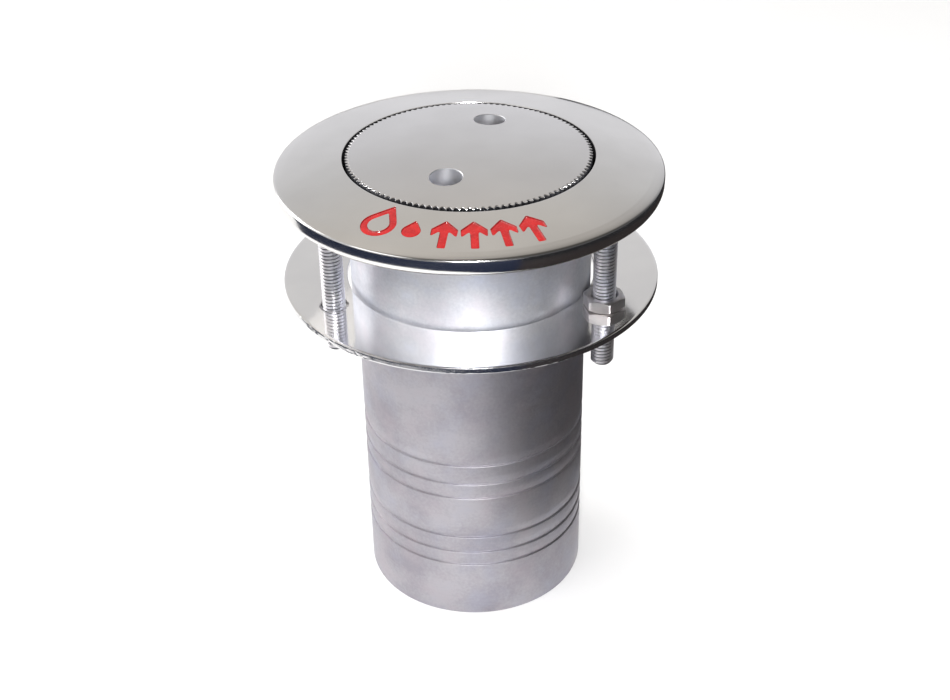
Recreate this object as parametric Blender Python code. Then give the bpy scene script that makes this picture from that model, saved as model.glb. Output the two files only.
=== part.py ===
"""Deck fill cap: a flush screw cap in a domed deck flange, with its hose tail, clamp studs and backing plate.

The part stands on the end of its hose tail. The origin is the centre of that end, and +Z is up.
The cap's thread is right-handed, so a turn counter-clockwise seen from above lifts the cap by one pitch.
"""

import math

import bmesh
import bpy
from mathutils import Matrix, Vector

MM = 0.001

# The gap that is left between pieces that touch.
TOUCH_GAP = 0.1 * MM
# The gap round pieces that run in or past each other.
RUNNING_GAP = 0.2 * MM

# Deck flange
FLANGE_RADIUS = 41.5 * MM
DOME_RISE = 4.77 * MM
RIM_Z = 103.7 * MM
UNDERSIDE_Z = RIM_Z - 4.3 * MM
# The rim's rounded band: (radius, height above RIM_Z), from the edge of the dome to the underside.
RIM_BAND = [
    (41.5 * MM, -1.9 * MM),
    (41.4 * MM, -2.8 * MM),
    (41.05 * MM, -3.5 * MM),
    (40.4 * MM, -4.05 * MM),
    (39.4 * MM, -4.3 * MM),
]
BORE_RADIUS = 26.8 * MM
SEAT_Z = RIM_Z - 2.2 * MM
NECK_RADIUS = 26.45 * MM
NECK_FILLET = 1.2 * MM
NECK_END_Z = RIM_Z - 30.0 * MM
THROAT_RADIUS = 22.2 * MM
THROAT_END_Z = RIM_Z - 16.5 * MM

# Hose tail
TAIL_RADIUS = 25.4 * MM
TAIL_BORE_RADIUS = 23.9 * MM
BARB_DEPTH = 0.4 * MM
BARB_LEDGES = [RIM_Z - z * MM for z in (61.0, 66.0, 69.9, 81.0, 85.3, 89.0)]
BARB_RAMP = 3.2 * MM
BARB_LEDGE_HEIGHT = 0.35 * MM

# Cap
CAP_RADIUS = 26.2 * MM
CAP_FLOOR_Z = SEAT_Z + 0.3 * MM
SKIRT_RADIUS = 21.8 * MM
SKIRT_BORE_RADIUS = 19.8 * MM
SKIRT_END_Z = RIM_Z - 13.6 * MM
BOSS_RADIUS = 4.0 * MM
BOSS_END_Z = SEAT_Z - 2.0 * MM
KEY_HOLE_RADIUS = 3.4 * MM
KEY_HOLE_DEPTH = 4.6 * MM
KEY_HOLE_PLACE = 14.8 * MM
KEY_HOLE_AZIMUTH = math.radians(71.6)
KEY_HOLE_SIDES = 20
SCREW_HOLE_DEPTH = 2.6 * MM

# O-ring, in a groove in the cap's underside
RING_SECTION = 0.75 * MM
RING_RADIUS = 24.3 * MM
RING_GROOVE_DEPTH = 1.4 * MM

# Thread between cap and flange
THREAD_PITCH = 3.0 * MM
THREAD_DEPTH = 1.1 * MM
THREAD_STEPS = 24
RIDGE_ROOT = 1.9 * MM
RIDGE_CREST = 0.9 * MM
RIDGE_TURNS = 3.0
RIDGE_START_Z = SKIRT_END_Z + 1.3 * MM
GROOVE_START_TURN = -0.6
GROOVE_MOUTH = 2.55 * MM
GROOVE_FLOOR = 1.4 * MM

# Studs, nuts and washers: M5
STUD_CIRCLE = 33.0 * MM
STUD_RADIUS = 2.5 * MM
STUD_TOP_Z = UNDERSIDE_Z + 4.5 * MM
STUDS = {"left": (-152.0, 35.1 * MM), "right": (-32.0, 39.0 * MM), "rear": (88.0, 39.0 * MM)}
NUT_ACROSS_FLATS = 8.0 * MM
NUT_HEIGHT = 2.7 * MM
UPPER_NUT_CORNER = 42.0
WASHER_RADIUS = 5.0 * MM
WASHER_THICKNESS = 1.0 * MM

# Backing plate
PLATE_RADIUS = 41.1 * MM
PLATE_HOLE_RADIUS = 27.2 * MM
PLATE_THICKNESS = 1.4 * MM
PLATE_TOP_Z = RIM_Z - 24.8 * MM
PLATE_STUD_HOLE_RADIUS = 3.15 * MM
WASHER_SIDES = 16
NUT_CROWN_SIDES = 18

# Cap retainer: swivel tab, chain and toggle bar, beside the cap's axis
CHAIN_X = 4.0 * MM
TAB_START_X = -3.8 * MM
TAB_THICKNESS = 1.2 * MM
TAB_HALF_WIDTH = 3.2 * MM
TAB_HOLE_DROP = 6.0 * MM
EYE_RADIUS = 1.5 * MM
EYE_EDGE = 1.2 * MM
LINK_WIRE = 0.8 * MM
LINK_END_RADIUS = 2.0 * MM
LINK_STRAIGHT = 4.4 * MM
LINK_COUNT = 5
LINK_SIDES = 6
TOGGLE_RADIUS = 1.5 * MM
TOGGLE_HALF_LENGTH = 22.9 * MM
SCREW_SHANK_RADIUS = 1.5 * MM
SCREW_HEAD_RADIUS = 2.8 * MM
SCREW_HEAD_HEIGHT = 1.7 * MM

# Enamel marks in the flange: two droplets and four arrows
MARK_RADIUS = 34.2 * MM
ENAMEL_TOP = 0.08 * MM
ENAMEL_BOTTOM = 0.55 * MM
POCKET_BOTTOM = 0.65 * MM
ENAMEL_GAP = 0.08 * MM
LARGE_DROPLET_AZIMUTH = -121.5
LARGE_DROPLET_RADIUS = 3.6 * MM
LARGE_DROPLET_STROKE = 1.4 * MM
SMALL_DROPLET_AZIMUTH = -109.5
SMALL_DROPLET_RADIUS = 1.9 * MM
DROPLET_TIP_RATIO = 1.75
ARROW_AZIMUTHS = (-98.5, -88.5, -78.5, -68.5)
ARROW_HALF_LENGTH = 4.1 * MM
ARROW_HALF_SPAN = 2.6 * MM
ARROW_STROKE = 1.6 * MM

# Sides of the large and the small round pieces
ROUND = 48
SMALL_ROUND = 12

# The sharpest angle that still shades smooth, in degrees, on turned pieces and on thin round wire
TURNED_ANGLE = 30.0
WIRE_ANGLE = 70.0


# ---------------------------------------------------------------- tools

def clear_scene():
    for obj in list(bpy.data.objects):
        bpy.data.objects.remove(obj, do_unlink=True)


def material(name, colour, roughness, metallic):
    made = bpy.data.materials.new(name)
    made.use_nodes = True
    shader = made.node_tree.nodes["Principled BSDF"]
    shader.inputs["Base Color"].default_value = (*colour, 1.0)
    shader.inputs["Roughness"].default_value = roughness
    shader.inputs["Metallic"].default_value = metallic
    return made


def new_object(name, mesh):
    obj = bpy.data.objects.new(name, mesh)
    bpy.context.scene.collection.objects.link(obj)
    return obj


def from_bmesh(name, shape):
    bmesh.ops.recalc_face_normals(shape, faces=shape.faces[:])
    mesh = bpy.data.meshes.new(name)
    shape.to_mesh(mesh)
    shape.free()
    return new_object(name, mesh)


def as_cutter(obj):
    obj.hide_render = True
    obj.display_type = "WIRE"
    return obj


def turned(name, profile, steps=ROUND, closed=True):
    """A solid turned about Z from (radius, height) points that run down its outer side."""
    mesh = bpy.data.meshes.new(name)
    points = [(radius, 0.0, height) for radius, height in profile]
    edges = [(i, i + 1) for i in range(len(points) - 1)]
    if closed:
        edges.append((len(points) - 1, 0))
    mesh.from_pydata(points, edges, [])
    obj = new_object(name, mesh)
    screw = obj.modifiers.new("turn", "SCREW")
    screw.steps = steps
    screw.render_steps = steps
    screw.use_merge_vertices = True
    screw.merge_threshold = 0.000001
    return obj


def boolean(obj, other, operation):
    cut = obj.modifiers.new(operation.lower(), "BOOLEAN")
    cut.operation = operation
    cut.object = other
    cut.solver = "EXACT"
    as_cutter(other)
    return obj


def smooth_round(obj, colour_material, angle=TURNED_ANGLE):
    """Applies the modifiers, shades the round faces smooth and gives the object its material."""
    bpy.context.view_layer.update()
    graph = bpy.context.evaluated_depsgraph_get()
    mesh = bpy.data.meshes.new_from_object(obj.evaluated_get(graph))
    obj.modifiers.clear()
    obj.data = mesh
    mesh.shade_smooth()
    mesh.set_sharp_from_angle(angle=math.radians(angle))
    mesh.materials.clear()
    mesh.materials.append(colour_material)
    return obj


def steps_between(start, end, count):
    return [start + (end - start) * i / count for i in range(count + 1)]


def circle_points(radius, count, centre=(0.0, 0.0)):
    turns = [2 * math.pi * i / count for i in range(count)]
    return [(centre[0] + radius * math.cos(a), centre[1] + radius * math.sin(a)) for a in turns]


def prism(name, outline, low, high):
    """The outline, as (x, y) points, extruded from low to high."""
    shape = bmesh.new()
    face = shape.faces.new([shape.verts.new((x, y, low)) for x, y in outline])
    raised = bmesh.ops.extrude_face_region(shape, geom=[face])
    lifted = [item for item in raised["geom"] if isinstance(item, bmesh.types.BMVert)]
    bmesh.ops.translate(shape, verts=lifted, vec=(0.0, 0.0, high - low))
    return from_bmesh(name, shape)


def cylinder(name, radius, low, high, place=(0.0, 0.0), count=SMALL_ROUND):
    return prism(name, circle_points(radius, count, place), low, high)


def polar(radius, azimuth):
    return (radius * math.cos(azimuth), radius * math.sin(azimuth))


def dome(radius):
    """The height of the low dome that the flange and the cap share."""
    return RIM_Z + DOME_RISE * (1 - (radius / FLANGE_RADIUS) ** 2)


def helical_ridge(name, inner, outer, root, crest, first_turn, last_turn):
    """A closed helical bar of trapezoidal section: root is its width at the inner radius, crest at the outer one.

    Turn 0 is at azimuth 0 and RIDGE_START_Z, and each turn after it is one pitch higher.
    """
    shape = bmesh.new()
    corners = [(inner, -root / 2), (outer, -crest / 2), (outer, crest / 2), (inner, root / 2)]
    rings = []
    for turn in steps_between(first_turn, last_turn, round((last_turn - first_turn) * THREAD_STEPS)):
        angle = 2 * math.pi * turn
        middle = RIDGE_START_Z + THREAD_PITCH * turn
        rings.append([
            shape.verts.new((r * math.cos(angle), r * math.sin(angle), middle + dz)) for r, dz in corners
        ])
    for low, high in zip(rings, rings[1:]):
        for k in range(4):
            shape.faces.new((low[k], low[(k + 1) % 4], high[(k + 1) % 4], high[k]))
    shape.faces.new(rings[0])
    shape.faces.new(rings[-1])
    return from_bmesh(name, shape)


# ---------------------------------------------------------------- materials

STEEL = (0.78, 0.77, 0.75)
POLISHED = dict(roughness=0.12, metallic=1.0)
SATIN = dict(roughness=0.38, metallic=1.0)


# ---------------------------------------------------------------- enamel marks

def droplet_outline(round_radius, grow):
    """A drop, round towards the rim and pointed towards the cap, larger by grow all round."""
    radius = round_radius + grow
    tip = DROPLET_TIP_RATIO * radius
    touch = math.acos(radius / tip)
    angles = steps_between(touch, 2 * math.pi - touch, 14)
    return [(tip, 0.0)] + [(radius * math.cos(a), radius * math.sin(a)) for a in angles]


def arrow_outline(grow):
    """An arrow that points towards the cap, larger by grow all round."""
    slant = math.sqrt(2)
    tip = ARROW_HALF_LENGTH + slant * grow
    crotch = ARROW_HALF_LENGTH - slant * (ARROW_STROKE + grow)
    span = ARROW_HALF_SPAN + grow
    stem = ARROW_STROKE / 2 + grow
    tail = -ARROW_HALF_LENGTH - grow
    side = [(tip - span, span), (crotch - span, span), (crotch - stem, stem), (tail, stem)]
    return [(tip, 0.0)] + side + [(u, -v) for u, v in reversed(side)]


def placed_outline(outline, azimuth):
    """Turns an outline so that its +X points at the cap's axis, and moves it out to the marks' radius."""
    inward = azimuth + math.pi
    cosine, sine = math.cos(inward), math.sin(inward)
    x, y = polar(MARK_RADIUS, azimuth)
    return [(x + u * cosine - v * sine, y + u * sine + v * cosine) for u, v in outline]


def dome_shell(name, top, bottom):
    """A ring of the dome's shape, from top to bottom below the surface."""
    radii = steps_between(BORE_RADIUS, FLANGE_RADIUS, 4)
    upper = [(r, dome(r) - top) for r in radii]
    lower = [(r, dome(r) - bottom) for r in reversed(radii)]
    return turned(name, upper + lower)


def mark_solid(name, outlines, degrees, top, bottom):
    """The first outline, less the second if there is one, between two depths below the dome."""
    low, high = RIM_Z - 3 * MM, RIM_Z + 6 * MM
    azimuth = math.radians(degrees)
    solid = prism(name, placed_outline(outlines[0], azimuth), low, high)
    for inner in outlines[1:]:
        hole = prism(name + "_hole", placed_outline(inner, azimuth), low - 1 * MM, high + 1 * MM)
        boolean(solid, hole, "DIFFERENCE")
    return boolean(solid, dome_shell(name + "_depth", top, bottom), "INTERSECT")


def make_mark(name, outlines_of, degrees):
    """Makes one enamel inlay and returns the cutter for its pocket.

    outlines_of gives the mark's outlines, grown by the width that it is given.
    """
    inlay = mark_solid(name, outlines_of(0.0), degrees, ENAMEL_TOP, ENAMEL_BOTTOM)
    smooth_round(inlay, material(name + "_red", (0.75, 0.02, 0.02), roughness=0.2, metallic=0.0))
    return as_cutter(mark_solid(name + "_pocket", outlines_of(ENAMEL_GAP), degrees, -1 * MM, POCKET_BOTTOM))


def make_marks():
    def large_droplet(grow):
        inner = LARGE_DROPLET_RADIUS - LARGE_DROPLET_STROKE
        return [droplet_outline(LARGE_DROPLET_RADIUS, grow), droplet_outline(inner, -grow)]

    pockets = [
        make_mark("enamel_large_droplet", large_droplet, LARGE_DROPLET_AZIMUTH),
        make_mark(
            "enamel_small_droplet",
            lambda grow: [droplet_outline(SMALL_DROPLET_RADIUS, grow)],
            SMALL_DROPLET_AZIMUTH,
        ),
    ]
    for number, degrees in enumerate(ARROW_AZIMUTHS, 1):
        pockets.append(make_mark(f"enamel_arrow_{number}", lambda grow: [arrow_outline(grow)], degrees))
    return pockets


# ---------------------------------------------------------------- flange and tail

def flange_profile():
    top = [(r, dome(r)) for r in steps_between(BORE_RADIUS, FLANGE_RADIUS, 4)]
    rim = [(radius, RIM_Z + height) for radius, height in RIM_BAND]
    neck = [
        (NECK_RADIUS + NECK_FILLET, UNDERSIDE_Z),
        (NECK_RADIUS, UNDERSIDE_Z - NECK_FILLET),
        (NECK_RADIUS, NECK_END_Z),
    ]
    socket = TAIL_RADIUS + TOUCH_GAP
    relief = THROAT_RADIUS + THREAD_DEPTH + 0.3 * MM
    inside = [
        (socket, NECK_END_Z),
        (socket, THROAT_END_Z),
        (THROAT_RADIUS, THROAT_END_Z),
        (THROAT_RADIUS, THROAT_END_Z + 1.2 * MM),
        (relief, THROAT_END_Z + 1.6 * MM),
        (relief, THROAT_END_Z + 3.2 * MM),
        (THROAT_RADIUS, THROAT_END_Z + 3.6 * MM),
        (THROAT_RADIUS, SEAT_Z),
        (BORE_RADIUS, SEAT_Z),
    ]
    return top + rim + neck + inside


def make_flange(pockets):
    flange = turned("deck_flange", flange_profile())
    thread = helical_ridge(
        "throat_thread",
        THROAT_RADIUS - 0.8 * MM,
        THROAT_RADIUS + THREAD_DEPTH,
        GROOVE_MOUTH,
        GROOVE_FLOOR,
        GROOVE_START_TURN,
        RIDGE_TURNS + 1,
    )
    boolean(flange, thread, "DIFFERENCE")
    for side, (degrees, _) in STUDS.items():
        place = polar(STUD_CIRCLE, math.radians(degrees))
        low = UNDERSIDE_Z - 1 * MM
        hole = cylinder("tapped_hole_" + side, STUD_RADIUS + TOUCH_GAP, low, STUD_TOP_Z + TOUCH_GAP, place)
        boolean(flange, hole, "DIFFERENCE")
    for pocket in pockets:
        boolean(flange, pocket, "DIFFERENCE")
    return smooth_round(flange, material("polished_casting", STEEL, **POLISHED))


def make_tail():
    outside = [(TAIL_RADIUS, THROAT_END_Z - TOUCH_GAP)]
    last = THROAT_END_Z
    for ledge in BARB_LEDGES:
        ramp = min(BARB_RAMP, last - ledge - BARB_LEDGE_HEIGHT - 0.4 * MM)
        outside += [
            (TAIL_RADIUS, ledge + ramp),
            (TAIL_RADIUS - BARB_DEPTH, ledge),
            (TAIL_RADIUS, ledge - BARB_LEDGE_HEIGHT),
        ]
        last = ledge - BARB_LEDGE_HEIGHT
    outside += [(TAIL_RADIUS, 0.6 * MM), (TAIL_RADIUS - 0.5 * MM, 0.0)]
    inside = [(TAIL_BORE_RADIUS, 0.0), (TAIL_BORE_RADIUS, THROAT_END_Z - TOUCH_GAP)]
    tail = turned("hose_tail", outside + inside)
    return smooth_round(tail, material("satin_tube", STEEL, **SATIN))


# ---------------------------------------------------------------- cap

def cap_profile():
    edge = 0.35 * MM
    top = [(r, dome(r)) for r in steps_between(0.0, CAP_RADIUS - edge, 4)]
    groove_outer = RING_RADIUS + RING_SECTION + 0.1 * MM
    groove_inner = RING_RADIUS - RING_SECTION - 0.1 * MM
    groove_top = CAP_FLOOR_Z + RING_GROOVE_DEPTH
    screw_hole = SCREW_SHANK_RADIUS + TOUCH_GAP
    screw_hole_top = CAP_FLOOR_Z + SCREW_HOLE_DEPTH
    return top + [
        (CAP_RADIUS, dome(CAP_RADIUS) - edge),
        (CAP_RADIUS, CAP_FLOOR_Z),
        (groove_outer, CAP_FLOOR_Z),
        (groove_outer, groove_top),
        (groove_inner, groove_top),
        (groove_inner, CAP_FLOOR_Z),
        (SKIRT_RADIUS, CAP_FLOOR_Z),
        (SKIRT_RADIUS, SKIRT_END_Z + 0.5 * MM),
        (SKIRT_RADIUS - 0.5 * MM, SKIRT_END_Z),
        (SKIRT_BORE_RADIUS, SKIRT_END_Z),
        (SKIRT_BORE_RADIUS, CAP_FLOOR_Z),
        (BOSS_RADIUS, CAP_FLOOR_Z),
        (BOSS_RADIUS, BOSS_END_Z),
        (screw_hole, BOSS_END_Z),
        (screw_hole, screw_hole_top),
        (0.0, screw_hole_top),
    ]


def make_cap():
    cap = turned("cap", cap_profile(), closed=False)
    ridge = helical_ridge(
        "skirt_thread",
        SKIRT_RADIUS - 0.6 * MM,
        SKIRT_RADIUS + THREAD_DEPTH,
        RIDGE_ROOT,
        RIDGE_CREST,
        0.0,
        RIDGE_TURNS,
    )
    boolean(cap, ridge, "UNION")
    for number, azimuth in enumerate((KEY_HOLE_AZIMUTH, KEY_HOLE_AZIMUTH + math.pi), 1):
        floor = dome(KEY_HOLE_PLACE) - KEY_HOLE_DEPTH
        place = polar(KEY_HOLE_PLACE, azimuth)
        top = floor + 2 * KEY_HOLE_DEPTH
        hole = cylinder(f"key_hole_{number}", KEY_HOLE_RADIUS, floor, top, place, KEY_HOLE_SIDES)
        boolean(cap, hole, "DIFFERENCE")
    return smooth_round(cap, material("polished_cap", STEEL, **POLISHED))


def make_o_ring():
    height = SEAT_Z + TOUCH_GAP + RING_SECTION
    section = [(RING_RADIUS + x, height - z) for x, z in circle_points(RING_SECTION, 6)]
    rubber = material("black_rubber", (0.02, 0.02, 0.02), roughness=0.6, metallic=0.0)
    return smooth_round(turned("cap_o_ring", section), rubber, WIRE_ANGLE)


# ---------------------------------------------------------------- studs, nuts, washers, plate

def make_stud(side, degrees, length):
    x, y = polar(STUD_CIRCLE, math.radians(degrees))
    point = 0.5 * MM
    profile = [
        (0.0, 0.0),
        (STUD_RADIUS - point, 0.0),
        (STUD_RADIUS, -point),
        (STUD_RADIUS, point - length),
        (STUD_RADIUS - point, -length),
        (0.0, -length),
    ]
    stud = turned("stud_" + side, profile, SMALL_ROUND, closed=False)
    stud.location = (x, y, STUD_TOP_Z)
    return smooth_round(stud, material("stud_steel_" + side, STEEL, **SATIN))


def make_nut(name, degrees, low, corner_degrees):
    """A hexagon nut whose corners are chamfered at both ends, with its origin on the stud's axis."""
    x, y = polar(STUD_CIRCLE, math.radians(degrees))
    corner = NUT_ACROSS_FLATS / math.sqrt(3)
    chamfer = (corner - NUT_ACROSS_FLATS / 2) * 0.55
    nut = prism(name, circle_points(corner, 6), 0.0, NUT_HEIGHT)
    crown = turned(name + "_crown", [
        (0.0, NUT_HEIGHT),
        (NUT_ACROSS_FLATS / 2 - 0.1 * MM, NUT_HEIGHT),
        (corner + 0.1 * MM, NUT_HEIGHT - chamfer),
        (corner + 0.1 * MM, chamfer),
        (NUT_ACROSS_FLATS / 2 - 0.1 * MM, 0.0),
        (0.0, 0.0),
    ], NUT_CROWN_SIDES, closed=False)
    crown.rotation_euler = (0.0, 0.0, math.pi / NUT_CROWN_SIDES)
    boolean(nut, crown, "INTERSECT")
    hole = cylinder(name + "_hole", STUD_RADIUS + RUNNING_GAP, -1 * MM, NUT_HEIGHT + 1 * MM)
    boolean(nut, hole, "DIFFERENCE")
    smooth_round(nut, material(name + "_steel", STEEL, **POLISHED))
    nut.location = (x, y, low)
    nut.rotation_euler = (0.0, 0.0, math.radians(corner_degrees))
    return nut


def make_washer(side, degrees, top):
    x, y = polar(STUD_CIRCLE, math.radians(degrees))
    inner = STUD_RADIUS + RUNNING_GAP
    low = -WASHER_THICKNESS
    profile = [(inner, 0.0), (WASHER_RADIUS, 0.0), (WASHER_RADIUS, low), (inner, low)]
    washer = turned("washer_" + side, profile, WASHER_SIDES)
    washer.location = (x, y, top)
    return smooth_round(washer, material("washer_steel_" + side, STEEL, **SATIN))


def make_plate():
    low = PLATE_TOP_Z - PLATE_THICKNESS
    plate = turned("backing_plate", [
        (PLATE_HOLE_RADIUS, PLATE_TOP_Z),
        (PLATE_RADIUS, PLATE_TOP_Z),
        (PLATE_RADIUS, low),
        (PLATE_HOLE_RADIUS, low),
    ])
    for side, (degrees, _) in STUDS.items():
        place = polar(STUD_CIRCLE, math.radians(degrees))
        above = PLATE_TOP_Z + 1 * MM
        hole = cylinder("plate_hole_" + side, PLATE_STUD_HOLE_RADIUS, low - 1 * MM, above, place)
        boolean(plate, hole, "DIFFERENCE")
    return smooth_round(plate, material("polished_plate", STEEL, **POLISHED))


def make_clamp():
    make_plate()
    underside = PLATE_TOP_Z - PLATE_THICKNESS
    nut_z = underside - WASHER_THICKNESS - 2 * TOUCH_GAP - NUT_HEIGHT
    for side, (degrees, length) in STUDS.items():
        make_stud(side, degrees, length)
        make_washer(side, degrees, underside - TOUCH_GAP)
        make_nut("lower_nut_" + side, degrees, nut_z, degrees)
    make_nut("upper_nut_right", STUDS["right"][0], PLATE_TOP_Z + TOUCH_GAP, UPPER_NUT_CORNER)


# ---------------------------------------------------------------- cap retainer

def eye_outline(top, bottom, half_width, hole_z):
    """A strip's outline as (across, height) points, square at the top and round about its hole."""
    radius = EYE_RADIUS + EYE_EDGE
    angles = steps_between(0.0, -math.pi, 8)
    lower = [(radius * math.cos(a), hole_z + radius * math.sin(a)) for a in angles]
    return [(-half_width, top), (half_width, top), (half_width, bottom)] + lower + [(-half_width, bottom)]


def upright_plate(name, outline, x):
    """An outline of (y, z) points as a plate of the tab's thickness, square to X."""
    plate = prism(name, outline, -TAB_THICKNESS / 2, TAB_THICKNESS / 2)
    plate.data.transform(Matrix(((0, 0, 1, x), (1, 0, 0, 0), (0, 1, 0, 0), (0, 0, 0, 1))))
    return plate


def make_swivel_tab():
    top = BOSS_END_Z - TOUCH_GAP
    low = top - TAB_THICKNESS
    hole_z = top - TAB_HOLE_DROP
    half = TAB_THICKNESS / 2
    ends = [
        (TAB_START_X, -TAB_HALF_WIDTH),
        (CHAIN_X + half, -TAB_HALF_WIDTH),
        (CHAIN_X + half, TAB_HALF_WIDTH),
        (TAB_START_X, TAB_HALF_WIDTH),
    ]
    tab = prism("swivel_tab", ends, low, top)
    leg_outline = eye_outline(top - half, hole_z + 1.0 * MM, TAB_HALF_WIDTH, hole_z)
    boolean(tab, upright_plate("tab_leg", leg_outline, CHAIN_X), "UNION")
    screw_hole = cylinder("tab_screw_hole", SCREW_SHANK_RADIUS + RUNNING_GAP, low - 1 * MM, top + 1 * MM)
    boolean(tab, screw_hole, "DIFFERENCE")
    eye = cylinder("tab_eye", EYE_RADIUS, CHAIN_X - 3 * MM, CHAIN_X + 3 * MM)
    eye.data.transform(Matrix(((0, 0, 1, 0), (0, 1, 0, 0), (-1, 0, 0, hole_z), (0, 0, 0, 1))))
    boolean(tab, eye, "DIFFERENCE")
    smooth_round(tab, material("tab_steel", STEEL, **SATIN))
    return hole_z


def make_swivel_screw():
    head_top = BOSS_END_Z - TOUCH_GAP - TAB_THICKNESS - TOUCH_GAP
    shank_top = CAP_FLOOR_Z + SCREW_HOLE_DEPTH - RUNNING_GAP
    screw = turned("swivel_screw", [
        (0.0, shank_top),
        (SCREW_SHANK_RADIUS, shank_top),
        (SCREW_SHANK_RADIUS, head_top),
        (SCREW_HEAD_RADIUS, head_top),
        (SCREW_HEAD_RADIUS, head_top - 0.6 * SCREW_HEAD_HEIGHT),
        (0.6 * SCREW_HEAD_RADIUS, head_top - SCREW_HEAD_HEIGHT),
        (0.0, head_top - SCREW_HEAD_HEIGHT),
    ], SMALL_ROUND, closed=False)
    return smooth_round(screw, material("screw_steel", STEEL, **SATIN))


def link_path():
    """The middle line of an oval chain link, as (across, height) points."""
    half = LINK_STRAIGHT / 2
    turns = steps_between(0.0, math.pi, 5)
    top = [(LINK_END_RADIUS * math.cos(a), half + LINK_END_RADIUS * math.sin(a)) for a in turns]
    return top + [(-across, -height) for across, height in top]


def make_link(number, height):
    """An oval link. Odd links lie in the XZ plane and even ones in the YZ plane."""
    shape = bmesh.new()
    path = link_path()
    rings = []
    for i, (across, z) in enumerate(path):
        before, after = Vector(path[i - 1]), Vector(path[(i + 1) % len(path)])
        along = (after - before).normalized()
        outward = Vector((along.y, -along.x))
        ring = []
        for side, lift in circle_points(LINK_WIRE, LINK_SIDES):
            across_at = across + side * outward.x
            z_at = z + side * outward.y
            place = (across_at, lift, z_at) if number % 2 else (lift, across_at, z_at)
            ring.append(shape.verts.new(place))
        rings.append(ring)
    for i, ring in enumerate(rings):
        following = rings[(i + 1) % len(rings)]
        for k in range(LINK_SIDES):
            after_k = (k + 1) % LINK_SIDES
            shape.faces.new((ring[k], ring[after_k], following[after_k], following[k]))
    link = from_bmesh(f"chain_link_{number}", shape)
    link.location = (CHAIN_X, 0.0, height)
    return smooth_round(link, material(f"link_steel_{number}", STEEL, **POLISHED), WIRE_ANGLE)


def make_toggle(eye_z):
    rod_z = eye_z - EYE_RADIUS - EYE_EDGE
    end = 0.4 * MM
    toggle = turned("toggle_bar", [
        (0.0, TOGGLE_HALF_LENGTH),
        (TOGGLE_RADIUS - end, TOGGLE_HALF_LENGTH),
        (TOGGLE_RADIUS, TOGGLE_HALF_LENGTH - end),
        (TOGGLE_RADIUS, end - TOGGLE_HALF_LENGTH),
        (TOGGLE_RADIUS - end, -TOGGLE_HALF_LENGTH),
        (0.0, -TOGGLE_HALF_LENGTH),
    ], SMALL_ROUND, closed=False)
    toggle.rotation_euler = (math.pi / 2, 0.0, 0.0)
    toggle.location = (CHAIN_X, 0.0, rod_z)
    hanging = eye_outline(2 * eye_z - rod_z, eye_z + 1 * MM, TAB_HALF_WIDTH, eye_z)
    outline = [(y, 2 * eye_z - z) for y, z in hanging]
    boolean(toggle, upright_plate("toggle_ear", outline, CHAIN_X), "UNION")
    eye = cylinder("toggle_eye", EYE_RADIUS, CHAIN_X - 3 * MM, CHAIN_X + 3 * MM)
    eye.data.transform(Matrix(((0, 0, 1, 0), (0, 1, 0, 0), (-1, 0, 0, eye_z), (0, 0, 0, 1))))
    boolean(toggle, eye, "DIFFERENCE")
    return smooth_round(toggle, material("toggle_steel", STEEL, **SATIN))


def make_retainer():
    eye_z = make_swivel_tab()
    make_swivel_screw()
    hang = EYE_RADIUS - LINK_WIRE - TOUCH_GAP
    half_length = LINK_STRAIGHT / 2 + LINK_END_RADIUS
    pitch = LINK_STRAIGHT + 2 * LINK_END_RADIUS - 2 * LINK_WIRE - TOUCH_GAP
    first = eye_z - hang - half_length
    for index in range(LINK_COUNT):
        make_link(index + 1, first - index * pitch)
    last = first - (LINK_COUNT - 1) * pitch
    make_toggle(last - half_length - hang)


clear_scene()
make_flange(make_marks())
make_tail()
make_cap()
make_o_ring()
make_clamp()
make_retainer()
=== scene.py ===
"""Looks of the deck fill cap: finely turned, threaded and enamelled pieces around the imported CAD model."""

import math

import bmesh
import bpy
import numpy as np
from mathutils import Euler, Matrix, Vector, noise


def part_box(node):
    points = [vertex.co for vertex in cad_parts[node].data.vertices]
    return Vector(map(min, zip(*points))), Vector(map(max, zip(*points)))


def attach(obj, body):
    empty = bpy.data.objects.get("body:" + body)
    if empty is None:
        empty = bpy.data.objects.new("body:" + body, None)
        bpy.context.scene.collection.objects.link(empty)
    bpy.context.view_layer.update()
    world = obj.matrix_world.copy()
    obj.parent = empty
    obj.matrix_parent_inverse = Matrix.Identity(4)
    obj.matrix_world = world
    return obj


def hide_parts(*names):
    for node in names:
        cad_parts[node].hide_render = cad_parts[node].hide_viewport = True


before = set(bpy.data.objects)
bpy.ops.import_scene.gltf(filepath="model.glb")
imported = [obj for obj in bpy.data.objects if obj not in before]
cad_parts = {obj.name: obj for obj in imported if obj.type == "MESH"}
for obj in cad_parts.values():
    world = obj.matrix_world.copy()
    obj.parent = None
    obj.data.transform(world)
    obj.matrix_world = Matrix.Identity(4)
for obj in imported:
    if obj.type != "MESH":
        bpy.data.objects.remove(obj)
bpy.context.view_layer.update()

MM = 0.001
FULL_TURN = 2 * math.pi


# ---------------------------------------------------------------- sizes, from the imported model

def top_of(node):
    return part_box(node)[1].z


def bottom_of(node):
    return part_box(node)[0].z


def radius_of(node):
    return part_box(node)[1].x


def axis_of(node):
    low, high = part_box(node)
    return ((low.x + high.x) / 2, (low.y + high.y) / 2)


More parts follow.
